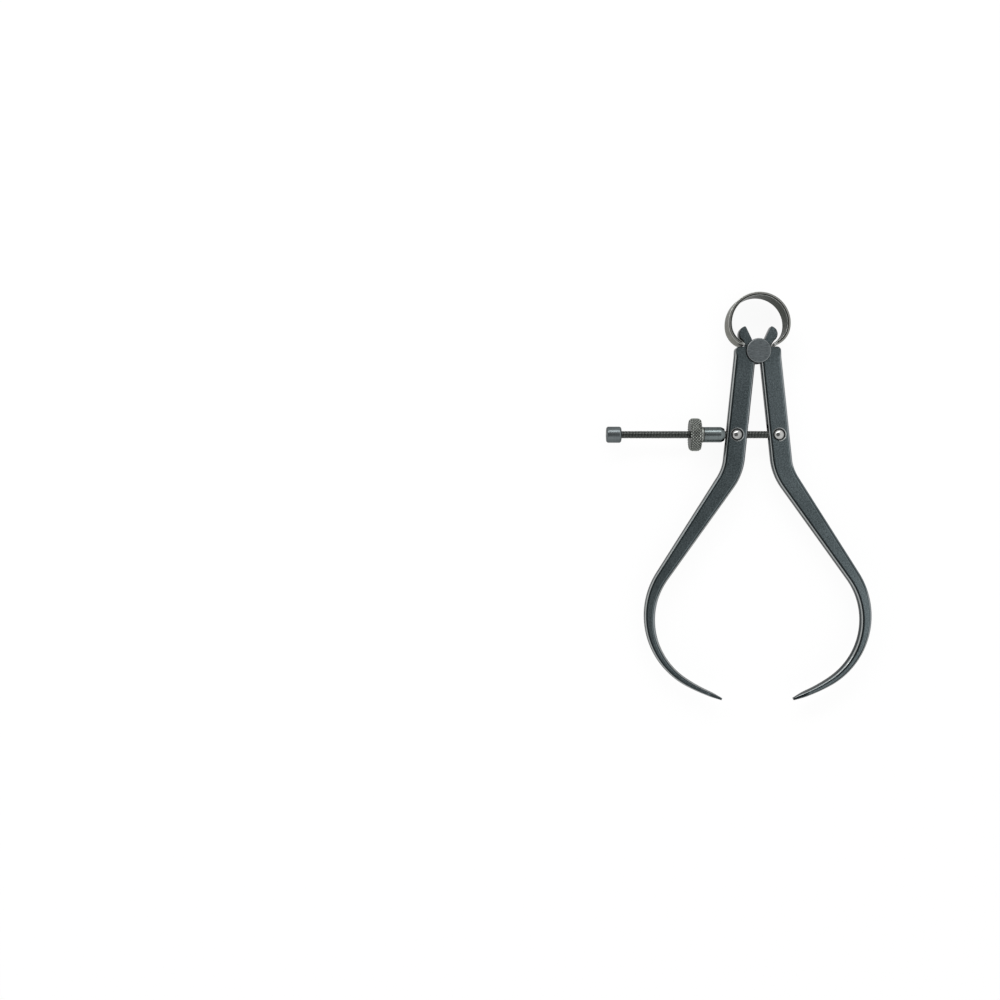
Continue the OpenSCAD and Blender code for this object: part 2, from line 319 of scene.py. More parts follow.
class Finish:
    # a metal finish: Principled shader with helpers to wire colour, roughness and bump
    def __init__(self, name, metallic=1.0, edgeTint=0.5):
        self.material = bpy.data.materials.new(name)
        self.material.use_nodes = True
        self.tree = self.material.node_tree
        self.shader = self.tree.nodes["Principled BSDF"]
        self.shader.inputs["Metallic"].default_value = metallic
        # dulls the metal at grazing angles
        self.shader.inputs["Specular Tint"].default_value = (edgeTint, edgeTint, edgeTint, 1)
        self.objectVector = addNode(self.tree, "ShaderNodeTexCoord").outputs["Object"]

    def grain(self, fine, slow):
        inputs = {"Vector": self.objectVector, "Grain Scale": fine, "Cloud Scale": slow}
        return addNode(self.tree, "ShaderNodeGroup", inputs, node_tree=grainGroup).outputs

    def wear(self, edge, scale, amount):
        inputs = {"Vector": self.objectVector, "Edge": edge, "Break Scale": scale, "Break": amount}
        return addNode(self.tree, "ShaderNodeGroup", inputs, node_tree=wearGroup).outputs["Wear"]

    def lines(self, squeeze, vector=None, output="Lines"):
        inputs = {"Vector": self.objectVector if vector is None else vector, "Squeeze": squeeze}
        return addNode(self.tree, "ShaderNodeGroup", inputs, node_tree=linesGroup).outputs[output]

    def attribute(self, name, output="Fac"):
        return addNode(self.tree, "ShaderNodeAttribute", attribute_name=name).outputs[output]

    def math(self, operation, *values):
        return mathNode(self.tree, operation, *values)

    def rise(self, value, edges):
        return rangeNode(self.tree, value, *edges)

    def between(self, low, rise, high, fall):
        # comes in over one pair of edges and goes out over another
        return self.math("MULTIPLY", self.rise(low, rise), rangeNode(self.tree, high, *fall, 1.0, 0.0))

    def blend(self, a, b, share):
        return self.math("MULTIPLY_ADD", a, share, self.math("MULTIPLY", b, 1 - share))

    def mix(self, factor, a, b):
        a, b = (value if hasattr(value, "is_linked") else (*value, 1.0) for value in (a, b))
        return addNode(self.tree, "ShaderNodeMix", {0: factor, 6: a, 7: b}, data_type="RGBA").outputs[2]

    def colour(self, output):
        self.tree.links.new(output, self.shader.inputs["Base Color"])

    def roughness(self, value, gain, base):
        self.tree.links.new(self.math("MULTIPLY_ADD", value, gain, base), self.shader.inputs["Roughness"])

    def bump(self, height, strength, distance):
        inputs = {"Strength": strength, "Distance": distance * mm, "Height": height}
        node = addNode(self.tree, "ShaderNodeBump", inputs)
        self.tree.links.new(node.outputs["Normal"], self.shader.inputs["Normal"])


# finishes

legFinish = {
    "dark": (0.056, 0.073, 0.078), "pale": (0.176, 0.214, 0.226), "roughness": 0.17,
    # painted shade: the darkest colour here darkens the crease beside the face and the leg's side
    "worn": (0.32, 0.33, 0.325), "rightLitWorn": (0.220, 0.240, 0.250), "creaseShade": (0.014, 0.017, 0.019),
    "creaseShadeFrom": (0.05, 0.14), "creaseShadeTo": (0.30, 0.44), "bandFrom": (0.34, 0.46), "bandTo": (0.62, 0.74),
    # painted light: the right-facing shifts widen the band on edges facing right, and those edges take a colour of
    # their own
    "shadedSideFrom": (0.68, 0.78), "rightLitEarly": 0.16, "rightLitLate": -0.28, "shadeDepth": 0.85, "scratches": 0.04,
}


def makeLegSteel():
    c = legFinish
    f = Finish("legSteel", metallic=0.9)
    speck = f.grain(fine=1500.0, slow=50.0)
    # from the face outward: a crease painted dark as shade, a rubbed pale band, a side painted dark as shade; on
    # edges facing right the band comes in wider as painted light
    tilt, rightLit = f.attribute("tilt"), f.attribute("rightLit")
    # painted light: edges facing right get the band earlier and wider
    early = f.math("MULTIPLY_ADD", rightLit, c["rightLitEarly"], tilt)
    late = f.math("MULTIPLY_ADD", rightLit, c["rightLitLate"], tilt)
    band = f.between(early, c["bandFrom"], late, c["bandTo"])
    creaseShade = f.between(tilt, c["creaseShadeFrom"], early, c["creaseShadeTo"])
    # painted shade takes the band off the up-right edges of the right leg
    band = f.math("MULTIPLY", band, f.math("SUBTRACT", 1.0, f.attribute("upRightShade")))
    wear = f.wear(band, scale=520.0, amount=0.7)
    scratch = f.lines((900.0, 120.0, 900.0), output="Deep")
    face = f.mix(f.blend(speck["Cloud"], speck["Grain"], 0.3), c["dark"], c["pale"])
    wornAndLit = f.math("MAXIMUM", wear, f.math("MULTIPLY", scratch, c["scratches"]))
    # painted shade: the crease and the side are darkened towards the crease colour
    shadeMask = f.math("MAXIMUM", creaseShade, f.rise(late, c["shadedSideFrom"]))
    shadedFace = f.mix(f.math("MULTIPLY", shadeMask, c["shadeDepth"]), face, c["creaseShade"])
    f.colour(f.mix(wornAndLit, shadedFace, f.mix(rightLit, c["worn"], c["rightLitWorn"])))
    speckled = f.math("MULTIPLY_ADD", speck["Grain"], 0.10, c["roughness"] - 0.05)
    f.roughness(wear, gain=-0.08, base=speckled)
    f.bump(speck["Grain"], strength=0.12, distance=0.06)
    return f.material


discFinish = {
    "face": ((0.042, 0.049, 0.052), (0.198, 0.222, 0.232)), "rim": (0.26, 0.27, 0.272), "edge": (0.03, 0.032, 0.034),
    "rimHighlightFrom": (0.05, 0.2), "rimHighlightTo": (0.36, 0.5), "edgeShadowFrom": (0.42, 0.58), "rimHighlightAmount": 0.6,
}


def makeGroundSteel():
    c = discFinish
    f = Finish("groundSteel")
    speck = f.grain(fine=3600.0, slow=160.0)
    ground = f.blend(f.lines((500.0, 4500.0, 500.0)), speck["Grain"], 0.6)
    tilt = f.attribute("tilt")
    # a pale rim on the rounded edge, rubbed and painted highlight; the outer side painted dark as shadow in the gap
    rim = f.between(tilt, c["rimHighlightFrom"], tilt, c["rimHighlightTo"])
    lined = f.mix(f.math("MULTIPLY", rim, c["rimHighlightAmount"]), f.mix(ground, *c["face"]), c["rim"])
    f.colour(f.mix(f.rise(tilt, c["edgeShadowFrom"]), lined, c["edge"]))
    f.roughness(speck["Grain"], gain=0.12, base=0.32)
    f.bump(ground, strength=0.18, distance=0.05)
    return f.material


springFinish = {
    "inside": ((0.022, 0.027, 0.021), (0.090, 0.102, 0.086)),
    "litOutside": ((0.125, 0.130, 0.110), (0.400, 0.400, 0.350)),
    "rim": ((0.026, 0.028, 0.026), (0.26, 0.26, 0.245)), "bright": (0.46, 0.475, 0.46),
    "middleFrom": (0.42, 0.52), "middleTo": (0.72, 0.82),
}


def makeSpringSteel():
    c = springFinish
    f = Finish("springSteel", edgeTint=0.44)
    lines = f.lines((90.0, 5200.0, 5200.0), f.attribute("flow", "Vector"))
    speck = f.grain(fine=2600.0, slow=120.0)
    tone = f.blend(lines, speck["Cloud"], 0.7)
    # painted shade: the inside face is a darker, shaded copy of the steel on the outside
    across = f.attribute("across")
    broad = f.mix(across, f.mix(tone, *c["inside"]), f.mix(tone, *c["litOutside"]))
    # the rim: painted shade as a dark line at the inside and a dark outer line, grey in the middle
    rim = f.mix(f.between(across, c["middleFrom"], across, c["middleTo"]), *c["rim"])
    wear = f.wear(f.attribute("rim"), scale=300.0, amount=0.6)
    bright = f.math("MAXIMUM", wear, f.attribute("polish"))
    f.colour(f.mix(bright, f.mix(f.attribute("flat"), broad, rim), c["bright"]))
    f.roughness(lines, gain=0.16, base=0.22)
    f.bump(lines, strength=0.25, distance=0.04)
    return f.material


screwFinish = {
    "root": ((0.034, 0.038, 0.036), (0.066, 0.071, 0.067)), "crest": (0.165, 0.172, 0.165), "crestAmount": 0.5,
}


def makeScrewSteel():
    c = screwFinish
    f = Finish("screwSteel")
    speck = f.grain(fine=3000.0, slow=140.0)
    crest = f.math("MULTIPLY", f.attribute("crest"), c["crestAmount"])
    f.colour(f.mix(crest, f.mix(speck["Cloud"], *c["root"]), c["crest"]))
    f.roughness(speck["Grain"], gain=0.12, base=0.28)
    f.bump(speck["Grain"], strength=0.1, distance=0.04)
    return f.material


knurlFinish = {
    "point": ((0.31, 0.329, 0.303), (0.46, 0.483, 0.454)), "valley": (0.034, 0.036, 0.034), "pointFrom": (0.40, 0.66),
}


def makeKnurledSteel():
    # pale points, dark valleys
    c = knurlFinish
    f = Finish("knurledSteel")
    speck = f.grain(fine=2800.0, slow=170.0)
    point = f.rise(f.attribute("crest"), c["pointFrom"])
    f.colour(f.mix(point, c["valley"], f.mix(speck["Cloud"], *c["point"])))
    f.roughness(speck["Grain"], gain=0.12, base=0.30)
    f.bump(speck["Grain"], strength=0.1, distance=0.04)
    return f.material


domeFinish = {"shine": ((0.27, 0.275, 0.27), (0.40, 0.40, 0.39)), "grooveShade": (0.03, 0.033, 0.035)}


def makeDomeSteel():
    # polished cap; the rest of the pin painted dark as shade in the groove around it
    c = domeFinish
    f = Finish("polishedSteel", edgeTint=0.7)
    cap = f.attribute("cap")
    speck = f.grain(fine=1800.0, slow=260.0)
    f.colour(f.mix(cap, c["grooveShade"], f.mix(speck["Cloud"], *c["shine"])))
    f.roughness(cap, gain=-0.28, base=0.40)
    f.bump(speck["Grain"], strength=0.05, distance=0.03)
    return f.material


stopFinish = {
    "dark": (0.088, 0.101, 0.105), "pale": (0.155, 0.172, 0.178), "roughness": 0.30, "squeeze": (5000.0, 30.0, 30.0),
}
sleeveFinish = {
    "dark": (0.085, 0.100, 0.101), "pale": (0.150, 0.172, 0.174), "roughness": 0.20, "squeeze": (6500.0, 20.0, 20.0),
}


def makeTurnedSteel(name, dark, pale, roughness, squeeze):
    f = Finish(name)
    lines = f.lines(squeeze)
    speck = f.grain(fine=2800.0, slow=200.0)
    f.colour(f.mix(f.blend(lines, speck["Cloud"], 0.6), dark, pale))
    f.roughness(speck["Grain"], gain=0.10, base=roughness - 0.05)
    f.bump(lines, strength=0.12, distance=0.03)
    return f.material


legSteel, groundSteel, springSteel = makeLegSteel(), makeGroundSteel(), makeSpringSteel()
screwSteel, nutSteel, domeSteel = makeScrewSteel(), makeKnurledSteel(), makeDomeSteel()
stopSteel = makeTurnedSteel("satinSteel", **stopFinish)
sleeveSteel = makeTurnedSteel("brightTurnedSteel", **sleeveFinish)
print("finishes ready")


def finishPiece(piece, material, body, node):
    piece.data.materials.clear()
    piece.data.materials.append(material)
    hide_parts(node)
    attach(piece, body)


# legs

legSizes = {
    "shankMiddle": 5.2, "shankWidth": 9.05, "kneeDrop": 52.4, "kneeRadius": 22.0, "kneeTurn": 28.0,
    "thighLength": 54.03, "bowRadius": 32.0, "bowTurn": 92.0, "toeArc": 9.65, "toeTurn": 8.5, "toeStraight": 8.1,
    "kneeWidth": 8.45, "bowWidth": 5.7, "toeWidth": 2.9, "toeThin": 2.1, "toeThinner": 1.9, "tipWidth": 0.9,
    "toeShare": 0.45, "crownLength": 6.0, "crownHalf": 1.0, "crownBelow": -100.0,
    "edgeRound": 1.5, "headRound": 0.4, "seatRound": 0.15, "roundShare": 0.4, "roundSteps": 8,
    "outerFade": ((-2.0, 0.8), (-2.8, 1.2)), "outerFull": -3.5, "innerFade": (-3.6, 0.9), "innerFull": -4.4,
    "shankRow": -20.0, "meetLean": 31.0, "earRadius": 3.44, "earGap": 0.42, "earSet": 0.9, "earReach": 8.55,
    "earSoft": 0.6, "earSkip": 10.0, "earEnd": -62.0,
    "notch": (5.27, 1.31), "shoulderSlope": 6.0, "shoulderRound": 1.8, "seatRadius": 3.06,
    "pinDrop": 36.5, "boreRadius": 2.61, "flareSink": 0.25, "flareSlope": 1.4, "flareReach": 0.5, "boreSegments": 96,
    "slotSide": 0.25, "slotTall": 0.2, "slotSweep": 1.5, "sharpAngle": 32.0,
}


def legPath(s):
    # middle line from the knee to the tip: point, heading, width
    tangent = s["kneeRadius"] * math.tan(math.radians(s["kneeTurn"] / 2))
    straight, share = s["toeStraight"], s["toeShare"]
    # each run: length, turn, width at its end, steps
    runs = [
        (s["kneeRadius"] * math.radians(s["kneeTurn"]), s["kneeTurn"], s["kneeWidth"], 16),
        (s["thighLength"] - tangent, 0, s["bowWidth"], 8),
        (s["bowRadius"] * math.radians(s["bowTurn"]), -s["bowTurn"], s["toeWidth"], 72),
        (s["toeArc"], -s["toeTurn"], s["toeThin"], 10),
        (straight * share, 0, s["toeThinner"], 3),
        (straight * (1 - share), 0, s["tipWidth"], 4)]
    point, heading, width = Vector((s["shankMiddle"], tangent - s["kneeDrop"])), 0.0, s["shankWidth"]
    path = [(point.copy(), heading, width)]
    for length, turn, endWidth, count in runs:
        startWidth = width
        for k in range(count):
            step, bend = length / count, turn / count
            chord = step if bend == 0 else 360 * step / (bend * math.pi) * math.sin(math.radians(bend / 2))
            point = point + chord * polar(heading + bend / 2 - 90)
            heading += bend
            width = startWidth + (endWidth - startWidth) * (k + 1) / count
            path.append((point.copy(), heading, width))
    return path


def legOutline(s):
    # points around the leg, each with the rounding of its edge
    innerX, outerX = s["shankMiddle"] - s["shankWidth"] / 2, s["shankMiddle"] + s["shankWidth"] / 2
    along, away = polar(90 - s["meetLean"]), polar(-s["meetLean"])
    ear = s["earReach"] * along + (s["earGap"] + s["earSet"]) * away
    earStart = 90 - s["meetLean"] + math.degrees(math.asin(s["earSet"] / s["earRadius"]))
    earTop = ear + polar(earStart, s["earRadius"])
    earArc = arc(ear, s["earRadius"], earStart - s["earSkip"], s["earEnd"], 26)
    earEdge = earTop - s["earSoft"] * along
    softened = []
    for k in range(1, 5):
        t = k / 5
        softened.append(earEdge * (1 - t) ** 2 + earTop * 2 * t * (1 - t) + earArc[0] * t * t)
    notch = Vector(s["notch"])
    slope = math.radians(s["shoulderSlope"])
    shoulderX = outerX - s["shoulderRound"]
    shoulderY = notch.y - (shoulderX - notch.x) * math.tan(slope)
    corner = Vector((shoulderX, shoulderY - s["shoulderRound"] / math.cos(slope)))
    shoulder = arc(corner, s["shoulderRound"], 90 - s["shoulderSlope"], 0, 8)
    seatFrom = -math.degrees(math.acos(innerX / s["seatRadius"]))
    seatTo = 90 - s["meetLean"] - math.degrees(math.asin(s["earGap"] / s["seatRadius"]))
    seat = arc(Vector((0, 0)), s["seatRadius"], seatFrom, seatTo, 30)
    row, full = s["shankRow"], s["edgeRound"]
    outline = [(p, s["headRound"]) for p in [earEdge] + softened + earArc + [notch] + shoulder]
    outline += [(Vector((outerX, y)), r) for y, r in (*s["outerFade"], (s["outerFull"], full), (row, full))]
    path = legPath(s)
    outline += [(p + polar(h) * w / 2, min(full, s["roundShare"] * w)) for p, h, w in path]
    outline += [(p - polar(h) * w / 2, min(full, s["roundShare"] * w)) for p, h, w in reversed(path)]
    outline += [(Vector((innerX, y)), r) for y, r in ((row, full), (s["innerFull"], full), s["innerFade"])]
    outline += [(p, s["seatRound"]) for p in seat]
    return outline, path


def cornerAways(points):
    # outward direction at each point, longer where the outline turns
    aways = []
    count = len(points)
    for i in range(count):
        before, after = points[i] - points[i - 1], points[(i + 1) % count] - points[i]
        a = Vector((-before.y, before.x)).normalized()
        b = Vector((-after.y, after.x)).normalized()
        aways.append((a + b) / max(0.35, 1 + a.dot(b)))
    return aways


def legBody(name):
    s, half, steps = legSizes, layout["halfLeg"], legSizes["roundSteps"]
    outline, path = legOutline(s)
    points = [p for p, r in outline]
    aways = cornerAways(points)
    rings = [(90 - 90 * k / steps, 1) for k in range(steps + 1)]
    rings += [(90 * k / steps, -1) for k in range(steps + 1)]
    tip, tipHeading = path[-1][:2]
    back = -polar(tipHeading - 90)
    verts = []
    for angle, face in rings:
        a = math.radians(angle)
        for (p, r), out in zip(outline, aways):
            q = p - out * r * (1 - math.cos(a))
            z = face * (half - r * (1 - math.sin(a)))
            fromTip = (q - tip).dot(back)
            if fromTip < s["crownLength"] and q.y < s["crownBelow"]:
                z *= (s["crownHalf"] + (half - s["crownHalf"]) * max(0, fromTip) / s["crownLength"]) / half
            verts.append((q.x, q.y, z))
    # broad faces: one for the head, then a strip of quads down the leg
    count, run = len(points), len(path)
    first = next(i for i, p in enumerate(points) if abs(p.y - s["shankRow"]) < 1e-6) + 1
    last = first + 2 * run - 1
    broad = [tuple(range(first)) + tuple(range(last + 1, count)), (first - 1, first, last, last + 1)]
    broad += [(first + i, first + i + 1, last - i - 1, last - i) for i in range(run - 1)]
    under = (len(rings) - 1) * count
    faces = broad + [tuple(under + i for i in reversed(face)) for face in broad]
    for k in range(len(rings) - 1):
        for i in range(count):
            j = (i + 1) % count
            faces.append((k * count + j, k * count + i, (k + 1) * count + i, (k + 1) * count + j))
    leg = makePiece(name, verts, faces)
    cleanMesh(leg)
    return leg


def boreCut():
    s = legSizes
    b, out, step = s["boreRadius"], layout["halfLeg"] + 1, layout["halfLeg"] - s["flareSink"]
    flare = b + (out - step) * s["flareSlope"]
    profile = [(-out, 0), (-out, flare), (-step, b), (step, b), (out, flare), (out, 0)]
    return turnProfile("bore", profile, upright(s["shankMiddle"], -s["pinDrop"], 0), s["boreSegments"])


def slotCut(way):
    # the fan that the screw sweeps on one side of the pin
    s, reach = legSizes, legSizes["shankWidth"]
    half, tall = layout["screwRadius"] + s["slotSide"], layout["screwRadius"] + s["slotTall"]
    low, high = -s["slotSweep"], s["meetLean"] + s["slotSweep"]
    fan = []
    for angle, far, edge in ((low, 0, -1), (low, reach, -1), (high, reach, 1), (high, 0, 1)):
        a = math.radians(angle)
        q = Vector((-math.cos(a), math.sin(a))) * far + Vector((math.sin(a), math.cos(a))) * half * edge
        fan.append((way * q.x + s["shankMiddle"], way * q.y - s["pinDrop"]))
    verts = [(x, y, z) for z in (-tall, tall) for x, y in fan]
    faces = [(0, 1, 2, 3), (7, 6, 5, 4)] + [(i, i + 4, (i + 1) % 4 + 4, (i + 1) % 4) for i in range(4)]
    cutter = makePiece("slotCut", verts, faces)
    cleanMesh(cutter)
    return cutter


def makeLeg(name, side, slotWays):
    s = legSizes
    leg = legBody(name)
    cutWith(leg, [boreCut()] + [slotCut(way) for way in slotWays])
    turnLeg = Matrix.Rotation(math.radians(layout["lean"]), 4, "Z")
    if side < 0:
        turnLeg = Matrix.Scale(-1, 4, (1, 0, 0)) @ turnLeg
    leg.data.transform(Matrix.Translation((0, 0, layout["midZ"] * mm)) @ turnLeg)
    if side < 0:
        leg.data.flip_normals()
    cleanMesh(leg)
    pin = Vector((side * layout["pinX"], layout["pinY"])) * mm
    storeEdges(leg, pin, (s["boreRadius"] + s["flareReach"]) * mm, side)
    shadeByAngle(leg, s["sharpAngle"])
    for polygon in leg.data.polygons:
        if abs(polygon.normal.z) > edgeRule["flatLift"]:
            polygon.use_smooth = False
    return leg


# the screw passes through the left leg and ends in the right one
leftLeg = makeLeg("leftLeg", -1, (1, -1))
finishPiece(leftLeg, legSteel, "left_leg", "left_leg")
rightLeg = makeLeg("rightLeg", 1, (1,))
finishPiece(rightLeg, legSteel, "right_leg", "right_leg")
print("legs ready", len(leftLeg.data.polygons), len(rightLeg.data.polygons))


# fulcrum roller

rollerSizes = {
    "discRadius": 5.3, "discThick": 1.3, "coreRadius": 3.0, "height": 8.0, "edge": 0.5, "innerEdge": 0.12,
    "sharpAngle": 30.0,
}


def makeRoller():
    s = rollerSizes
    r, t, c, h = s["discRadius"], s["discThick"], s["coreRadius"], s["height"]
    profile = [(0, 0), (0, r), (t, r), (t, c), (h - t, c), (h - t, r), (h, r), (h, 0)]
    profile = roundCorners(profile, {1: s["edge"], 2: s["innerEdge"], 5: s["innerEdge"], 6: s["edge"]})
    roller = turnProfile("fulcrumRoller", profile, upright(0, 0, 0))
    storeEdges(roller)
    shadeByAngle(roller, s["sharpAngle"])
    levelNormals(roller)
    return roller


roller = makeRoller()
finishPiece(roller, groundSteel, "fulcrum", "fulcrum_roller")
print("fulcrum ready")


# bow spring

springSizes = {
    "centreY": 11.586, "radius": 12.5, "tuckStart": 10.0, "tuckRadius": 8.75, "tuckEnd": 60.0,
    "tail": 2.0, "tailThick": 0.7, "thick": 1.5, "width": 11.0, "rim": 0.28, "rimShare": 0.35,
    "tailRows": 6, "tuckRows": 24, "bowRows": 100, "rimSteps": 4, "faceRows": 6, "faceWidth": 1.0,
    "flatEdge": 0.02, "polishGain": 1.4, "polishFrom": 0.2, "sharpAngle": 40.0,
}


def springStations(s):
    # middle line from the right end over the top to the left end: point, outward direction, thickness
    shift = s["radius"] - s["tuckRadius"]
    start = math.radians(s["tuckStart"])
    centre = Vector((shift * math.cos(start), s["centreY"] - shift * math.sin(start)))
    end = centre + polar(-s["tuckEnd"], s["tuckRadius"])
    tailWay = polar(-s["tuckEnd"] - 90)
    right = []
    for k in range(s["tailRows"] + 1):
        t = 1 - k / s["tailRows"]
        thick = s["tailThick"] + (s["thick"] - s["tailThick"]) * (1 - t)
        right.append((end + tailWay * s["tail"] * t, polar(-s["tuckEnd"]), thick))
    for k in range(1, s["tuckRows"]):
        angle = -s["tuckEnd"] + (s["tuckEnd"] - s["tuckStart"]) * k / s["tuckRows"]
        right.append((centre + polar(angle, s["tuckRadius"]), polar(angle), s["thick"]))
    main = []
    for k in range(s["bowRows"] + 1):
        angle = -s["tuckStart"] + (180 + 2 * s["tuckStart"]) * k / s["bowRows"]
        main.append((Vector((0, s["centreY"])) + polar(angle, s["radius"]), polar(angle), s["thick"]))
    left = [(Vector((-p.x, p.y)), Vector((-o.x, o.y)), t) for p, o, t in reversed(right)]
    return right + main + left


def springRing(s, thick):
    # section of the strip: across the thickness, across the width, how near the middle of a rounded edge
    half, r, steps, rows = s["width"] / 2, min(s["rim"], thick * s["rimShare"]), s["rimSteps"], s["faceRows"]
    corner = []
    for signT, signW, turn in ((1, 1, 0), (-1, 1, 90), (-1, -1, 180), (1, -1, 270)):
        for k in range(steps + 1):
            d = polar(turn + 90 * k / steps, r)
            off = abs(abs(d.x) - abs(d.y)) / r
            corner.append((signT * (thick / 2 - r) + d.x, signW * (half - r) + d.y, 1 - off))
    ring = []
    for (a, wa, edge), (b, wb, _) in zip(corner, corner[1:] + corner[:1]):
        ring.append((a, wa, max(0.0, edge)))
        if abs(wa - wb) > s["faceWidth"]:  # broad faces get a few rows
            ring += [(a + (b - a) * k / rows, wa + (wb - wa) * k / rows, 0.0) for k in range(1, rows)]
    return ring


def makeSpring():
    s = springSizes
    stations = springStations(s)
    verts, faces, flow = [], [], []
    marks = {"rim": [], "polish": [], "flat": [], "across": []}
    along, before = 0.0, stations[0][0]
    for point, out, thick in stations:
        along += (point - before).length
        before = point
        thinned = (s["thick"] - thick) / (s["thick"] - s["tailThick"])
        ring = springRing(s, thick)
        for t, w, edge in ring:
            p = point + out * t
            verts.append((p.x, p.y, layout["midZ"] + w))
            flow.extend((along * mm, t * mm, w * mm))
            marks["rim"].append(edge)
            marks["polish"].append(max(0.0, min(1.0, thinned * s["polishGain"] - s["polishFrom"])))
            marks["flat"].append(1.0 if abs(w) > s["width"] / 2 - s["flatEdge"] else 0.0)
            marks["across"].append(t / thick + 0.5)
    loop, count = len(ring), len(stations)
    for k in range(count - 1):
        for i in range(loop):
            j = (i + 1) % loop
            faces.append((k * loop + i, k * loop + j, (k + 1) * loop + j, (k + 1) * loop + i))
    faces.append(tuple(range(loop)))
    faces.append(tuple(reversed(range((count - 1) * loop, count * loop))))
    spring = makePiece("bowSpring", verts, faces)
    layer = spring.data.attributes.new("flow", "FLOAT_VECTOR", "POINT")
    layer.data.foreach_set("vector", flow)
    for name, values in marks.items():
        storeValues(spring, name, values)
    cleanMesh(spring, merge=False)
    shadeByAngle(spring, s["sharpAngle"])
    levelNormals(spring)
    return spring


spring = makeSpring()
finishPiece(spring, springSteel, "bow_spring", "bow_spring")
print("bow spring ready")


# Geometry Nodes shared by the screw and the nut

def newTree(name, inputs):
    return newGroup(name, "GeometryNodeTree", {"Geometry": "Geometry", **inputs}, {"Geometry": "Geometry"})


def markCrest(tree, geometry, value):
    inputs = {"Geometry": geometry, "Name": "crest", "Value": value}
    return addNode(tree, "GeometryNodeStoreNamedAttribute", inputs, data_type="FLOAT", domain="POINT").outputs[0]


def closeTree(tree, source, sink, grown):
    # what has grown and the piece it grew on, as one mesh with the finish
    join = addNode(tree, "GeometryNodeJoinGeometry", {0: grown})
    tree.links.new(source["Geometry"], join.inputs[0])
    realize = addNode(tree, "GeometryNodeRealizeInstances", {0: join.outputs[0]})
    paint = addNode(tree, "GeometryNodeSetMaterial", {"Geometry": realize.outputs[0], "Material": source["Finish"]})
    tree.links.new(paint.outputs[0], sink[0])


def runTree(name, piece, tree, values):
    # sets the named inputs by identifier, then keeps the result as a plain mesh
    modifier = piece.modifiers.new(name, "NODES")
    modifier.node_group = tree
    for item in tree.interface.items_tree:
        if item.item_type == "SOCKET" and item.in_out == "INPUT" and item.name in values:
            modifier[item.identifier] = values[item.name]
    bakeModifiers(piece)


# screw: a thread grown over a core rod

screwSizes = {
    "startX": -63.313, "endX": 10.887, "root": 1.34, "rod": 1.35, "rodRound": 0.2, "pitch": 0.635,
    "plainStart": 0.9, "plainLength": 1.6, "ridge": 1.6, "rows": 7, "merge": 0.002, "steps": 24, "rodSegments": 48,
    "sharpAngle": 35.0,
}


def makeThreadTree():
    s = screwSizes
    tree, source, sink = newTree("threadTree", {
        "Start": "Float", "Turns": "Float", "Pitch": "Float", "Root": "Float", "Crest": "Float",
        "Axis Y": "Float", "Axis Z": "Float", "Steps": "Int", "Finish": "Material"})
    calc = partial(mathNode, tree)
    # a unit grid, wound around the axis: X runs along the thread, Y across its ridge
    count = calc("MULTIPLY_ADD", source["Turns"], source["Steps"], 1.0)
    grid = addNode(tree, "GeometryNodeMeshGrid", {
        "Size X": 1.0, "Size Y": 1.0, "Vertices X": count, "Vertices Y": s["rows"]})
    spot = splitXyz(tree, addNode(tree, "GeometryNodeInputPosition").outputs[0])
    turn = calc("MULTIPLY", calc("ADD", spot["X"], 0.5), source["Turns"])
    angle = calc("MULTIPLY", turn, 2 * math.pi)
    slide = calc("MULTIPLY_ADD", calc("ADD", turn, spot["Y"]), source["Pitch"], source["Start"])
    ridge = calc("SUBTRACT", 1.0, calc("MULTIPLY", calc("ABSOLUTE", spot["Y"]), 2.0))
    height = calc("MULTIPLY", ridge, s["ridge"], clamp=True)  # flat crest
    radius = calc("MULTIPLY_ADD", height, calc("SUBTRACT", source["Crest"], source["Root"]), source["Root"])
    y = calc("MULTIPLY_ADD", calc("COSINE", angle), radius, source["Axis Y"])
    z = calc("MULTIPLY_ADD", calc("SINE", angle), radius, source["Axis Z"])
    marked = markCrest(tree, grid.outputs["Mesh"], height)
    wound = addNode(tree, "GeometryNodeSetPosition", {"Geometry": marked, "Position": joinXyz(tree, slide, y, z)})
    merged = addNode(tree, "GeometryNodeMergeByDistance", {"Geometry": wound.outputs[0], "Distance": s["merge"] * mm})
    closeTree(tree, source, sink, merged.outputs[0])
    return tree


def makeScrew():
    s = screwSizes
    length, rod = s["endX"] - s["startX"], s["rod"]
    profile = [(0, 0), (0, rod), (length, rod), (length, 0)]
    profile = roundCorners(profile, {1: s["rodRound"], 2: s["rodRound"]})
    screw = turnProfile("adjustingScrew", profile, alongScrew(s["startX"]), s["rodSegments"])
    turns = math.floor((length - s["plainLength"]) / s["pitch"])
    runTree("thread", screw, makeThreadTree(), {
        "Start": (s["startX"] + s["plainStart"]) * mm, "Turns": float(turns), "Pitch": s["pitch"] * mm,
        "Root": s["root"] * mm, "Crest": layout["screwRadius"] * mm, "Axis Y": layout["pinY"] * mm,
        "Axis Z": layout["midZ"] * mm, "Steps": s["steps"], "Finish": screwSteel})
    cleanMesh(screw, merge=False)
    shadeByAngle(screw, s["sharpAngle"])
    return screw


screw = makeScrew()
finishPiece(screw, screwSteel, "screw", "adjusting_screw")
print("screw ready", len(screw.data.polygons))


# end stop

stopSizes = {
    "startX": -64.813, "radius": 3.45, "length": 6.4, "round": 0.9, "depth": 1.5, "boreGap": 0.02, "mouthRound": 0.25,
    "sharpAngle": 30.0,
}


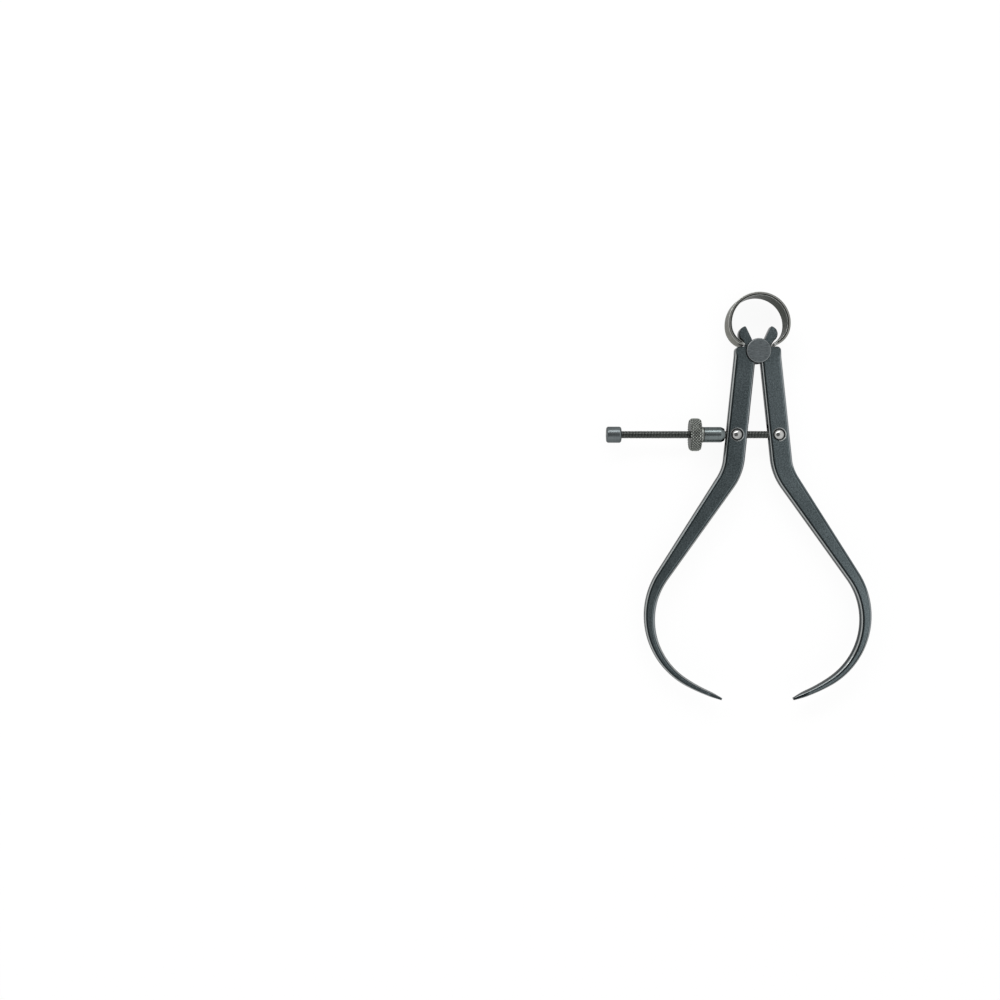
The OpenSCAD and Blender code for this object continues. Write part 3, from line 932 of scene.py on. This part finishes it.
def makeStop():
    s = stopSizes
    r, l, d = s["radius"], s["length"], s["depth"]
    bore = layout["screwRadius"] + s["boreGap"]
    profile = [(0, 0), (0, r), (l, r), (l, bore), (d, bore), (d, 0)]
    profile = roundCorners(profile, {1: s["round"], 2: s["round"], 3: s["mouthRound"]})
    stop = turnProfile("screwEndStop", profile, alongScrew(s["startX"]))
    shadeByAngle(stop, s["sharpAngle"])
    levelNormals(stop)
    return stop


stop = makeStop()
finishPiece(stop, stopSteel, "screw", "screw_end_stop")
print("stop ready")


# adjusting nut: turned body with a diamond knurl

nutSizes = {
    "startX": -29.0808, "radius": 7.1, "width": 4.6, "round": 1.2, "hubRadius": 3.4, "hubLength": 1.3,
    "boreRound": 0.2, "hubRound": 0.15, "sharpAngle": 30.0,
    "knurlCount": 33, "knurlRows": 8, "knurlDepth": 0.42, "knurlInset": 0.5, "knurlRound": 1.1,
    "bodySink": 0.85, "bodyCrest": 0.51, "diamondTop": 0.14, "rimBend": 1.25, "mostLean": 0.9,
}


def makeDiamond(tree):
    # four-sided point with a small flat top, marked with its height
    top = nutSizes["diamondTop"]
    sides = addNode(tree, "GeometryNodeMeshCone", {
        "Vertices": 4, "Radius Top": top, "Radius Bottom": 1.0, "Depth": 1.0}, fill_type="NONE")
    cap = addNode(tree, "GeometryNodeMeshCircle", {"Vertices": 4, "Radius": top}, fill_type="NGON")
    lifted = addNode(tree, "GeometryNodeTransform", {"Geometry": cap.outputs[0], "Translation": (0, 0, 1.0)})
    both = addNode(tree, "GeometryNodeJoinGeometry", {0: lifted.outputs[0]})
    tree.links.new(sides.outputs["Mesh"], both.inputs[0])
    spot = splitXyz(tree, addNode(tree, "GeometryNodeInputPosition").outputs[0])
    return markCrest(tree, both.outputs[0], spot["Z"])


def makeKnurlTree():
    s = nutSizes
    tree, source, sink = newTree("knurlTree", {
        "Middle X": "Float", "Axis Y": "Float", "Axis Z": "Float", "Radius": "Float", "Span": "Float",
        "Round": "Float", "Depth": "Float", "Around": "Int", "Rows": "Int", "Finish": "Material"})
    calc = partial(mathNode, tree)
    span, around, depth = source["Span"], source["Around"], source["Depth"]
    line = addNode(tree, "GeometryNodeMeshLine", {"Count": calc("MULTIPLY", around, source["Rows"])})
    index = addNode(tree, "GeometryNodeInputIndex").outputs[0]
    row = calc("FLOOR", calc("DIVIDE", calc("ADD", index, 0.5), around))
    column = calc("SUBTRACT", index, calc("MULTIPLY", row, around))
    # every other row stands half a diamond further round
    place = calc("MULTIPLY_ADD", calc("MODULO", row, 2.0), 0.5, column)
    angle = calc("MULTIPLY", calc("DIVIDE", place, around), 2 * math.pi)
    gap = calc("DIVIDE", span, calc("SUBTRACT", source["Rows"], 1.0))
    across = calc("MULTIPLY_ADD", row, gap, calc("MULTIPLY", span, -0.5))
    # rows on the rounded rim drop inward and lean outward with it
    flat = calc("SUBTRACT", calc("MULTIPLY", span, 0.5), source["Round"])
    past = calc("MAXIMUM", calc("SUBTRACT", calc("ABSOLUTE", across), flat), 0.0)
    bend = calc("MULTIPLY", source["Round"], s["rimBend"])
    ratio = calc("MINIMUM", calc("DIVIDE", past, bend), s["mostLean"])
    upward = calc("SQRT", calc("SUBTRACT", 1.0, calc("MULTIPLY", ratio, ratio)))
    drop = calc("MULTIPLY", calc("SUBTRACT", 1.0, upward), bend)
    radius = calc("SUBTRACT", calc("SUBTRACT", source["Radius"], depth), drop)
    cosine, sine = calc("COSINE", angle), calc("SINE", angle)
    spot = joinXyz(
        tree, calc("ADD", across, source["Middle X"]), calc("MULTIPLY_ADD", cosine, radius, source["Axis Y"]),
        calc("MULTIPLY_ADD", sine, radius, source["Axis Z"]))
    outward = joinXyz(
        tree, calc("MULTIPLY", calc("SIGN", across), ratio), calc("MULTIPLY", cosine, upward),
        calc("MULTIPLY", sine, upward))
    points = addNode(tree, "GeometryNodeSetPosition", {"Geometry": line.outputs[0], "Position": spot})
    # stand the diamonds on the rim, one corner along the nut's axis
    stood = addNode(tree, "FunctionNodeAlignRotationToVector", {"Vector": outward}, axis="Z")
    turned = addNode(tree, "FunctionNodeAlignRotationToVector", {
        "Vector": (1, 0, 0), "Rotation": stood.outputs[0]}, axis="X", pivot_axis="Z")
    sideways = calc("DIVIDE", calc("MULTIPLY", source["Radius"], math.pi), around)
    spread = addNode(tree, "GeometryNodeInstanceOnPoints", {
        "Points": points.outputs[0], "Instance": makeDiamond(tree), "Rotation": turned.outputs[0],
        "Scale": joinXyz(tree, gap, sideways, depth)})
    realize = addNode(tree, "GeometryNodeRealizeInstances", {0: spread.outputs[0]})
    closeTree(tree, source, sink, realize.outputs[0])
    return tree


def makeNut():
    s = nutSizes
    bore = layout["screwRadius"] + layout["runGap"]
    r, w, h = s["radius"] - s["knurlDepth"] * s["bodySink"], s["width"], s["hubRadius"]
    end = w + s["hubLength"]
    profile = [(0, bore), (0, r), (w, r), (w, h), (end, h), (end, bore)]
    profile = roundCorners(profile, {0: s["boreRound"], 1: s["round"], 2: s["round"], 4: s["hubRound"]})
    nut = turnProfile("adjustingNut", profile, alongScrew(s["startX"]))
    shadeByAngle(nut, s["sharpAngle"])
    storeValues(nut, "crest", [s["bodyCrest"]] * len(nut.data.vertices))
    runTree("knurl", nut, makeKnurlTree(), {
        "Middle X": (s["startX"] + w / 2) * mm, "Axis Y": layout["pinY"] * mm, "Axis Z": layout["midZ"] * mm,
        "Radius": s["radius"] * mm, "Span": (w - s["knurlInset"]) * mm, "Round": s["knurlRound"] * mm,
        "Depth": s["knurlDepth"] * mm, "Around": s["knurlCount"], "Rows": s["knurlRows"], "Finish": nutSteel})
    return nut


nut = makeNut()
finishPiece(nut, nutSteel, "nut", "adjusting_nut")
print("nut ready", len(nut.data.polygons))


# thrust sleeve

sleeveSizes = {
    "startX": -23.0808, "radius": 3.3, "length": 9.2, "noseRadius": 8.0, "noseEdge": 0.65, "noseStart": 1.75,
    "noseRound": 1.6, "noseSteps": 8, "backRound": 0.2, "sharpAngle": 30.0,
}


def makeSleeve():
    s = sleeveSizes
    r, l, n, steps = s["radius"], s["length"], s["noseRadius"], s["noseSteps"]
    bore, edge = layout["screwRadius"] + layout["runGap"], r - s["noseEdge"]
    nose = []
    for k in range(steps + 1):
        q = edge + (bore - edge) * k / steps
        nose.append((l - n + math.sqrt(n * n - q * q), q))
    profile = [(0, bore), (0, r), (l - s["noseStart"], r)] + nose
    profile = roundCorners(profile, {1: s["backRound"], 2: s["noseRound"]})
    sleeve = turnProfile("thrustSleeve", profile, alongScrew(s["startX"]))
    shadeByAngle(sleeve, s["sharpAngle"])
    levelNormals(sleeve)
    return sleeve


sleeve = makeSleeve()
finishPiece(sleeve, sleeveSteel, "sleeve", "thrust_sleeve")
print("sleeve ready")


# swivel pins with polished domes

pinSizes = {
    "radius": 2.55, "recess": 0.75, "domeRadius": 2.1, "domeBase": 0.2, "domeRise": 0.75, "domeSteps": 14,
    "capMargin": 0.08, "holeReach": 8.0, "segments": 96, "holeSegments": 64, "sharpAngle": 40.0,
}


def makePin(name, x, boreRadius):
    s, half, mid = pinSizes, layout["halfLeg"], layout["midZ"]
    body, base = half - s["recess"], half - s["domeBase"]
    rise = s["domeRise"] + s["domeBase"]
    ball = (s["domeRadius"] ** 2 + rise ** 2) / (2 * rise)
    centre = half + s["domeRise"] - ball
    top = math.degrees(math.acos((base - centre) / ball))
    angles = [math.radians(top * (1 - k / s["domeSteps"])) for k in range(s["domeSteps"] + 1)]
    dome = [(centre + ball * math.cos(angle), ball * math.sin(angle)) for angle in angles]
    upper = [(body, s["radius"]), (body, s["domeRadius"])] + dome
    lower = [(-z, r) for z, r in reversed(upper)]
    pin = turnProfile(name, lower + upper, upright(x, layout["pinY"], mid), s["segments"])
    reach = s["holeReach"]
    hole = [(-reach, 0), (-reach, boreRadius), (reach, boreRadius), (reach, 0)]
    cutWith(pin, [turnProfile("crossHole", hole, alongScrew(x), s["holeSegments"])])
    cleanMesh(pin)
    heights = [abs(vertex.co.z / mm - mid) for vertex in pin.data.vertices]
    storeValues(pin, "cap", [1.0 if height > base - s["capMargin"] else 0.0 for height in heights])
    shadeByAngle(pin, s["sharpAngle"])
    return pin


leftPin = makePin("leftTrunnion", -layout["pinX"], layout["screwRadius"] + layout["runGap"])
finishPiece(leftPin, domeSteel, "left_trunnion", "left_trunnion")
rightPin = makePin("rightTrunnion", layout["pinX"], layout["screwRadius"])
finishPiece(rightPin, domeSteel, "screw", "right_trunnion")
print("pins ready")


# floor, light and camera

studio = {
    "floorHalf": 3.0, "floorColour": (0.93, 0.93, 0.93), "floorGlow": 0.93, "floorRough": 0.9, "floorShine": 0.1,
    "worldLow": 1.0, "worldRing": 1.3, "ringRise": (0.1, 0.55), "worldCap": 0.27, "capLean": 20.0,
    "capEdge": (0.805, 0.842),
}


def makeFloor():
    z = cadBox[0].z / mm
    h = studio["floorHalf"] / mm
    floor = makePiece("floor", [(-h, -h, z), (h, -h, z), (h, h, z), (-h, h, z)], [(0, 1, 2, 3)])
    material = bpy.data.materials.new("paleFloor")
    material.use_nodes = True
    tree = material.node_tree
    shader = tree.nodes["Principled BSDF"]
    shader.inputs["Base Color"].default_value = (*studio["floorColour"], 1)
    shader.inputs["Roughness"].default_value = studio["floorRough"]
    shader.inputs["Specular IOR Level"].default_value = studio["floorShine"]
    # the camera and reflections see an even white, all other light meets the matte floor
    glow = addNode(tree, "ShaderNodeEmission", {"Strength": 1.0})
    path = addNode(tree, "ShaderNodeLightPath").outputs
    shown = mathNode(tree, "MAXIMUM", path["Is Glossy Ray"], path["Is Transmission Ray"])
    seen = mathNode(tree, "MAXIMUM", path["Is Camera Ray"], shown)
    amount = mathNode(tree, "MULTIPLY", seen, studio["floorGlow"])
    mix = addNode(tree, "ShaderNodeMixShader", {0: amount, 1: shader.outputs[0], 2: glow.outputs[0]})
    tree.links.new(mix.outputs[0], tree.nodes["Material Output"].inputs["Surface"])
    floor.data.materials.append(material)


def makeWorld():
    world = bpy.data.worlds.new("studio")
    scene.world = world
    world.use_nodes = True
    tree = world.node_tree
    background = tree.nodes["Background"]
    way = splitXyz(tree, addNode(tree, "ShaderNodeTexCoord").outputs["Generated"])
    # a dim cap overhead leaning left, a bright ring around it, softer towards the floor
    lean = math.radians(studio["capLean"])
    upward = mathNode(tree, "MULTIPLY", way["Z"], math.cos(lean))
    depth = mathNode(tree, "MULTIPLY_ADD", way["X"], -math.sin(lean), upward)
    rise = rangeNode(tree, way["Z"], *studio["ringRise"], studio["worldLow"], studio["worldRing"])
    cap = rangeNode(tree, depth, *studio["capEdge"])
    level = mathNode(tree, "MULTIPLY_ADD", cap, mathNode(tree, "SUBTRACT", studio["worldCap"], rise), rise)
    tree.links.new(level, background.inputs["Strength"])
    background.inputs["Color"].default_value = (1, 1, 1, 1)


backStrip = {"place": (-0.25, 0.62, 0.62), "target": (-0.02, -0.04, 0), "size": (1.1, 0.18), "energy": 4.0}


def makeLamp(name, place, target, size, energy):
    lamp = bpy.data.lights.new(name, "AREA")
    lamp.shape, lamp.size, lamp.size_y, lamp.energy = "RECTANGLE", size[0], size[1], energy
    holder = bpy.data.objects.new(name, lamp)
    holder.location = place
    holder.rotation_mode = "QUATERNION"
    holder.rotation_quaternion = (Vector(target) - Vector(place)).to_track_quat("-Z", "Y")
    scene.collection.objects.link(holder)


makeFloor()
makeWorld()
makeLamp("backStrip", **backStrip)

# straight down, as in the photograph
photoView = {"x": -110.39, "y": -63.76, "height": 599.7, "lens": 50.0, "sensor": 36.0, "clip": (0.01, 20.0)}
camera = bpy.data.objects.new("camera", bpy.data.cameras.new("camera"))
camera.data.lens, camera.data.sensor_width = photoView["lens"], photoView["sensor"]
camera.data.clip_start, camera.data.clip_end = photoView["clip"]
camera.location = (photoView["x"] * mm, photoView["y"] * mm, photoView["height"] * mm)
scene.collection.objects.link(camera)
scene.camera = camera
print("studio ready")
